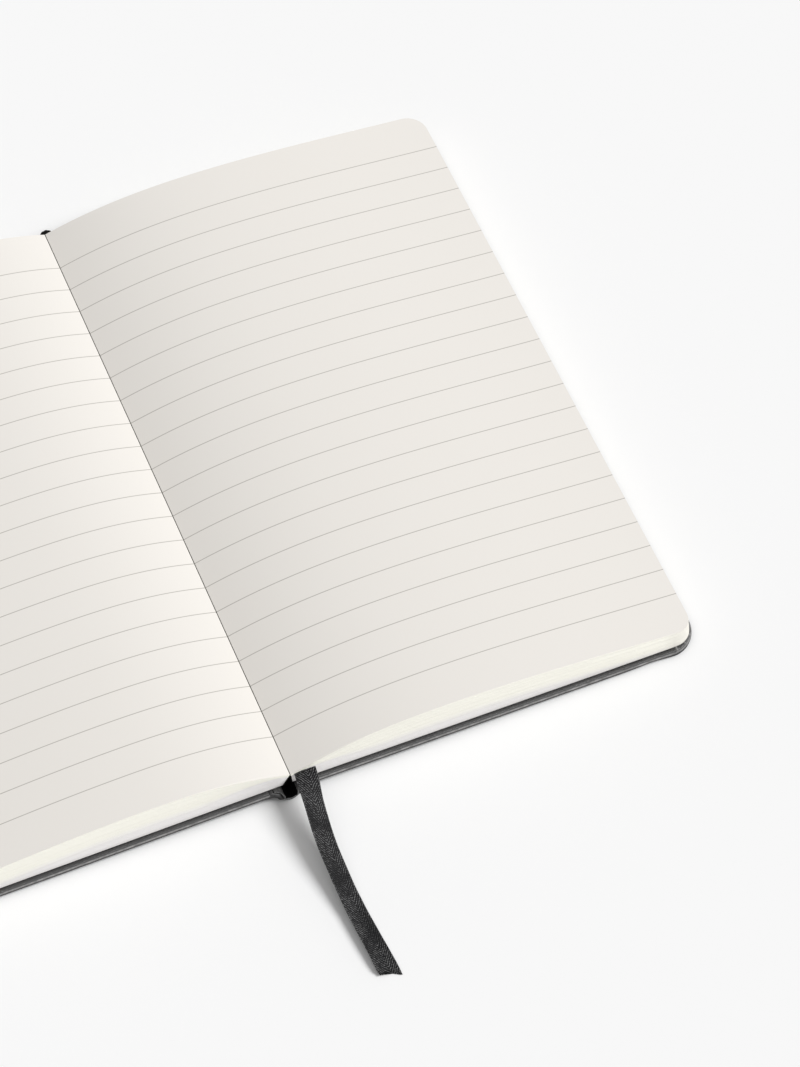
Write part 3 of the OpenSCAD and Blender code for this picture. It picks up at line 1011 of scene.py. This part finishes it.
def make_ribbon(weave):
    path = ribbon_curve(6)
    steps = [i / 10 - 1 for i in range(21)]
    length = sum((b - a).length for a, b in zip(path, path[1:]))
    verts, uvs = [], []
    done = 0.0
    for i, p in enumerate(path):
        if i:
            done += (p - path[i - 1]).length
        way = (path[min(i + 1, len(path) - 1)] - path[max(i - 1, 0)]).normalized()
        level = Vector((0, 0, 1)).cross(way).normalized()
        out = (-PAGE_L / 2 - p.y) / MM
        bank = math.radians(table_value(RIBBON_BANK, out))
        side = level * math.cos(bank) - way.cross(level) * math.sin(bank)
        up = way.cross(side)
        centre = p.copy()
        lowest = RIBBON_MIDDLE_Z + RIBBON_SEEN_W / 2 * abs(math.sin(bank))
        centre.z = max(p.z + table_value(RIBBON_RISE, out) * MM, lowest)
        centre.x += table_value(RIBBON_STRAY, out) * MM
        near_end = smooth(1 - (length - done) / CUT_REACH)
        kink = smooth(1 - (length - done) / KINK_REACH)
        for face, order in ((1, steps), (-1, list(reversed(steps)))):
            for s in order:
                thin = 1 - 0.6 * abs(s) ** 14
                cup = RIBBON_CUP * (s * s - 0.4) * smooth(done / (8 * MM))
                ripple = RIBBON_RIPPLE * noise.noise(Vector((done * 90, s * 1.3, 4.2)))
                drawn = kink * (KINK_LEFT * max(0.0, -s) ** 3 - KINK_RIGHT * max(0.0, s) ** 3)
                at = centre + side * (s * RIBBON_SEEN_W / 2 + drawn)
                at += up * (face * RIBBON_HALF_T * thin + cup + ripple)
                at += way * near_end * table_value(RIBBON_CUT, s) * MM
                at.z = max(at.z, RIBBON_UPPER_Z if face > 0 else RIBBON_UNDER_Z)
                at.y = min(at.y, -PAGE_L / 2 - RIBBON_AWAY * (i + 1))
                verts.append(at)
                uvs.append((s * RIBBON_W / 2, done + near_end * table_value(RIBBON_CUT, s) * MM))
    count = 2 * len(steps)
    faces = sweep_faces(len(path), count)
    faces += [tuple(range(count)), tuple(reversed(range(len(verts) - count, len(verts))))]
    piece = add_piece("ribbon", verts, faces, [weave], sharp_deg=50)
    layer = piece.data.uv_layers.new(name="ribbon")
    for loop in piece.data.loops:
        layer.data[loop.index].uv = uvs[loop.vertex_index]
    make_normals_outward(piece)
    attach(piece, "back_half")
    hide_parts("ribbon_marker")


# Stage
FLOOR_REACH = 6.0
BACKDROP = 0.932
SKY = 0.43
KEY = 0.575
KEY_ELEVATION = math.radians(45)
KEY_HEADING = math.radians(-22)
KEY_ANGLE = math.radians(28)


def make_stage():
    floor_mesh = bpy.data.meshes.new("floor")
    corners = [(FLOOR_REACH * x, FLOOR_REACH * y, 0) for x, y in ((-1, -1), (1, -1), (1, 1), (-1, 1))]
    floor_mesh.from_pydata(corners, [], [(0, 1, 2, 3)])
    floor = add_object("floor", floor_mesh)
    n = Nodes("floor")
    n.set(Base_Color=(BACKDROP, BACKDROP, BACKDROP), Roughness=1.0, Specular_IOR_Level=0.0)
    floor_mesh.materials.append(n.material)
    world = bpy.data.worlds.new("world")
    bpy.context.scene.world = world
    world.use_nodes = True
    tree = world.node_tree
    back = tree.nodes["Background"]
    path = tree.nodes.new("ShaderNodeLightPath")
    seen = tree.nodes.new("ShaderNodeMath")
    seen.operation = "MAXIMUM"
    tree.links.new(path.outputs["Is Camera Ray"], seen.inputs[0])
    tree.links.new(path.outputs["Is Glossy Ray"], seen.inputs[1])
    level = tree.nodes.new("ShaderNodeMapRange")
    level.inputs["To Min"].default_value = SKY
    level.inputs["To Max"].default_value = BACKDROP
    tree.links.new(seen.outputs[0], level.inputs["Value"])
    tree.links.new(level.outputs["Result"], back.inputs["Strength"])
    back.inputs["Color"].default_value = (1, 1, 1, 1)
    sun_data = bpy.data.lights.new("key", "SUN")
    sun_data.energy = KEY * math.pi / math.sin(KEY_ELEVATION)
    sun_data.angle = KEY_ANGLE
    sun = add_object("key", sun_data)
    toward = Vector((math.cos(KEY_HEADING) * math.cos(KEY_ELEVATION),
                     math.sin(KEY_HEADING) * math.cos(KEY_ELEVATION), math.sin(KEY_ELEVATION)))
    sun.rotation_mode = "QUATERNION"
    sun.rotation_quaternion = toward.to_track_quat("Z", "Y")
    bpy.context.scene.view_settings.view_transform = "Standard"


def finish_node(node, material):
    mesh_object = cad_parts[node]
    mesh_object.data.materials.clear()
    mesh_object.data.materials.append(material)


make_camera()
make_ribbon(ribbon_weave())
leather = leatherette("leatherette", 0.8)
# A duller copy of the leatherette, for painted shade on the lower part of the covers' edges
shaded_leather = leatherette("shaded_leatherette", 0.1)
paper = ruled_paper()
edges = leaf_edges()
plain = plain_paper()
cloth = book_cloth("lining_cloth", *LINING)
card = grey_card()
make_pages("right_pages", "back_half", RIGHT, (paper, edges, plain))
make_pages("left_pages", "front_half", LEFT, (paper, edges, plain))
make_cover("back_cover_skin", "back_cover_wrap", "back_cover", 1, leather, shaded_leather)
make_cover("front_cover_skin", "front_cover_wrap", "front_cover", -1, leather, shaded_leather)
# Near-black cloth painted on the strip and inside the loop as shade
hollow_shade_cloth = book_cloth("hollow_shade_cloth", *STRIP_SHADE)
make_spine(leather, rim_highlight_leather(), hollow_shade_cloth)
make_strip(hollow_shade_cloth)
make_lining_roll(cloth)
make_joint("back_joint_skin", 1, leather)
make_joint("front_joint_skin", -1, leather)
for node in ("right_spine_lining", "left_spine_lining"):
    finish_node(node, cloth)
make_board("back_board_card", "back_board", "back_cover", 1, card)
make_board("front_board_card", "front_board", "front_cover", -1, card)
for node in ("back_pastedown", "front_pastedown"):
    finish_node(node, plain)
make_stage()
